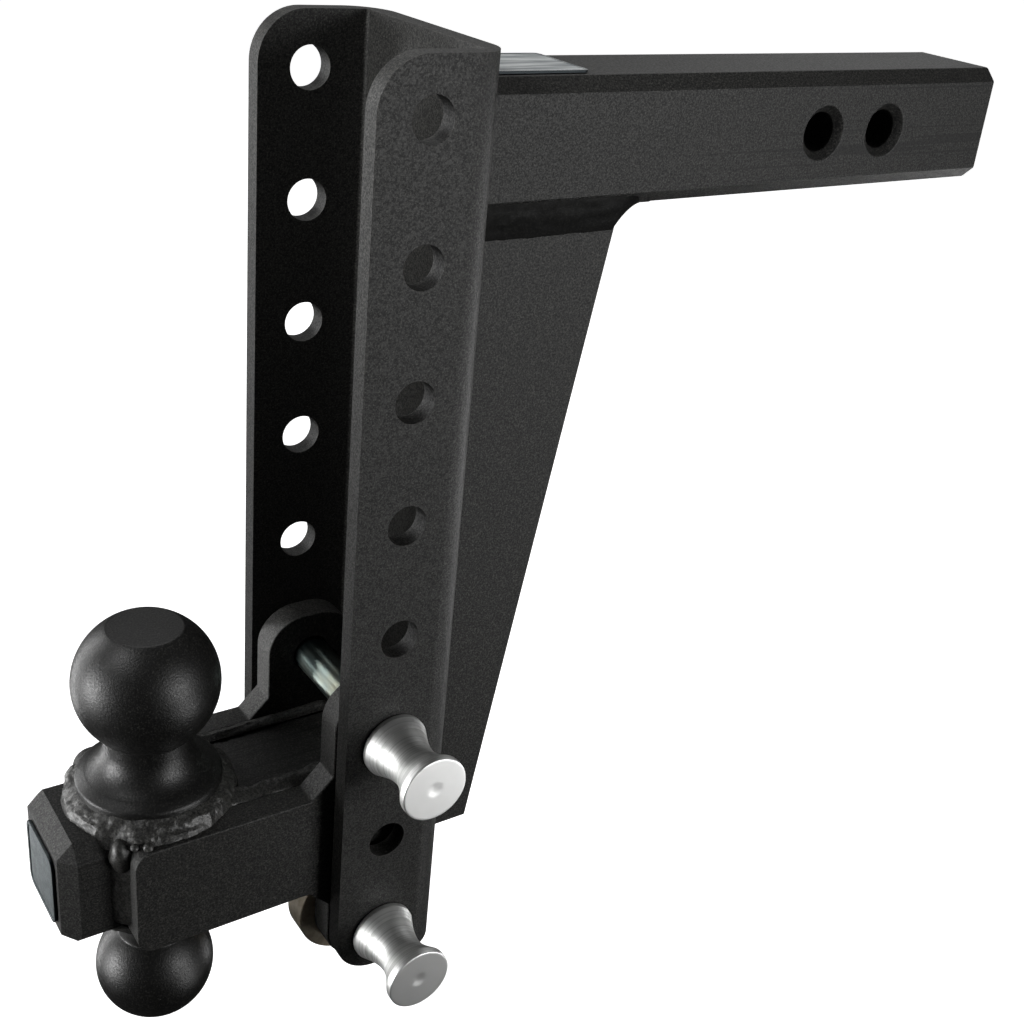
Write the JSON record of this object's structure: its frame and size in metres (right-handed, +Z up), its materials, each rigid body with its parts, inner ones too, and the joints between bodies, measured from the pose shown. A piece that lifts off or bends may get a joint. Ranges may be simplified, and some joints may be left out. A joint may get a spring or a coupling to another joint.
{
  "type": "trailer hitch",
  "caption": "Adjustable drop hitch: solid square shank, drilled channel on a gusset, and a pinned mount with a ball above and a ball below",
  "frame": {"origin": "centre of the shank's free end face, where it goes into the vehicle's receiver tube", "axes": "+X out of the shank's end face, toward the vehicle; the balls are at -X. +Z up. +Y along the two hitch pins, from their knobs to their clips"},
  "size_m": [0.4525, 0.1523, 0.4209],
  "materials": {
    "powder_coat": "fine-textured satin black powder coat",
    "ball_coat": "smoother satin black powder coat",
    "weld_coat": "powder-coated weld bead, rippled",
    "zinc_steel": "bright zinc plating with a slight green and yellow tint",
    "bare_steel": "bare turned steel, darkened brown",
    "turned_aluminium": "bright turned aluminium with fine concentric tool marks",
    "plate_metal": "blue-grey brushed metal plate, blank"
  },
  "bodies": {
    "root": {"shank": "powder_coat", "shank_nameplate": "plate_metal", "channel": "powder_coat", "gusset": "powder_coat", "weld_shank_channel": "weld_coat", "weld_gusset_heel": "weld_coat", "ball_block": "powder_coat", "front_plate": "plate_metal", "pin_spacer": "bare_steel", "ball_top": "ball_coat", "ball_bottom": "ball_coat", "weld_ball_top": "weld_coat", "weld_ball_bottom": "weld_coat", "cheek_near": "powder_coat", "weld_shank_gusset_near": "weld_coat", "weld_channel_gusset_near": "weld_coat", "weld_cheek_top_near": "weld_coat", "weld_cheek_bottom_near": "weld_coat", "weld_cheek_front_near": "weld_coat", "cheek_far": "powder_coat", "weld_shank_gusset_far": "weld_coat", "weld_channel_gusset_far": "weld_coat", "weld_cheek_top_far": "weld_coat", "weld_cheek_bottom_far": "weld_coat", "weld_cheek_front_far": "weld_coat"},
    "upper_pin": {"pin_upper": "zinc_steel", "knob_upper": "turned_aluminium"},
    "lower_pin": {"pin_lower": "zinc_steel", "knob_lower": "turned_aluminium"},
    "upper_clip": {"clip_upper": "zinc_steel"},
    "lower_clip": {"clip_lower": "zinc_steel"}
  },
  "joints": [
    {"name": "pin_upper_slide", "type": "slide", "parent": "root", "child": "upper_pin", "axis": [0, -1, 0], "range_m": [0, 0.128]},
    {"name": "pin_lower_slide", "type": "slide", "parent": "root", "child": "lower_pin", "axis": [0, -1, 0], "range_m": [0, 0.128]},
    {"name": "clip_upper_slide", "type": "slide", "parent": "upper_pin", "child": "upper_clip", "axis": [0, 0, 1], "range_m": [0, 0.045], "deforming": ["clip_upper"]},
    {"name": "clip_lower_slide", "type": "slide", "parent": "lower_pin", "child": "lower_clip", "axis": [0, 0, 1], "range_m": [0, 0.045], "deforming": ["clip_lower"]}
  ]
}
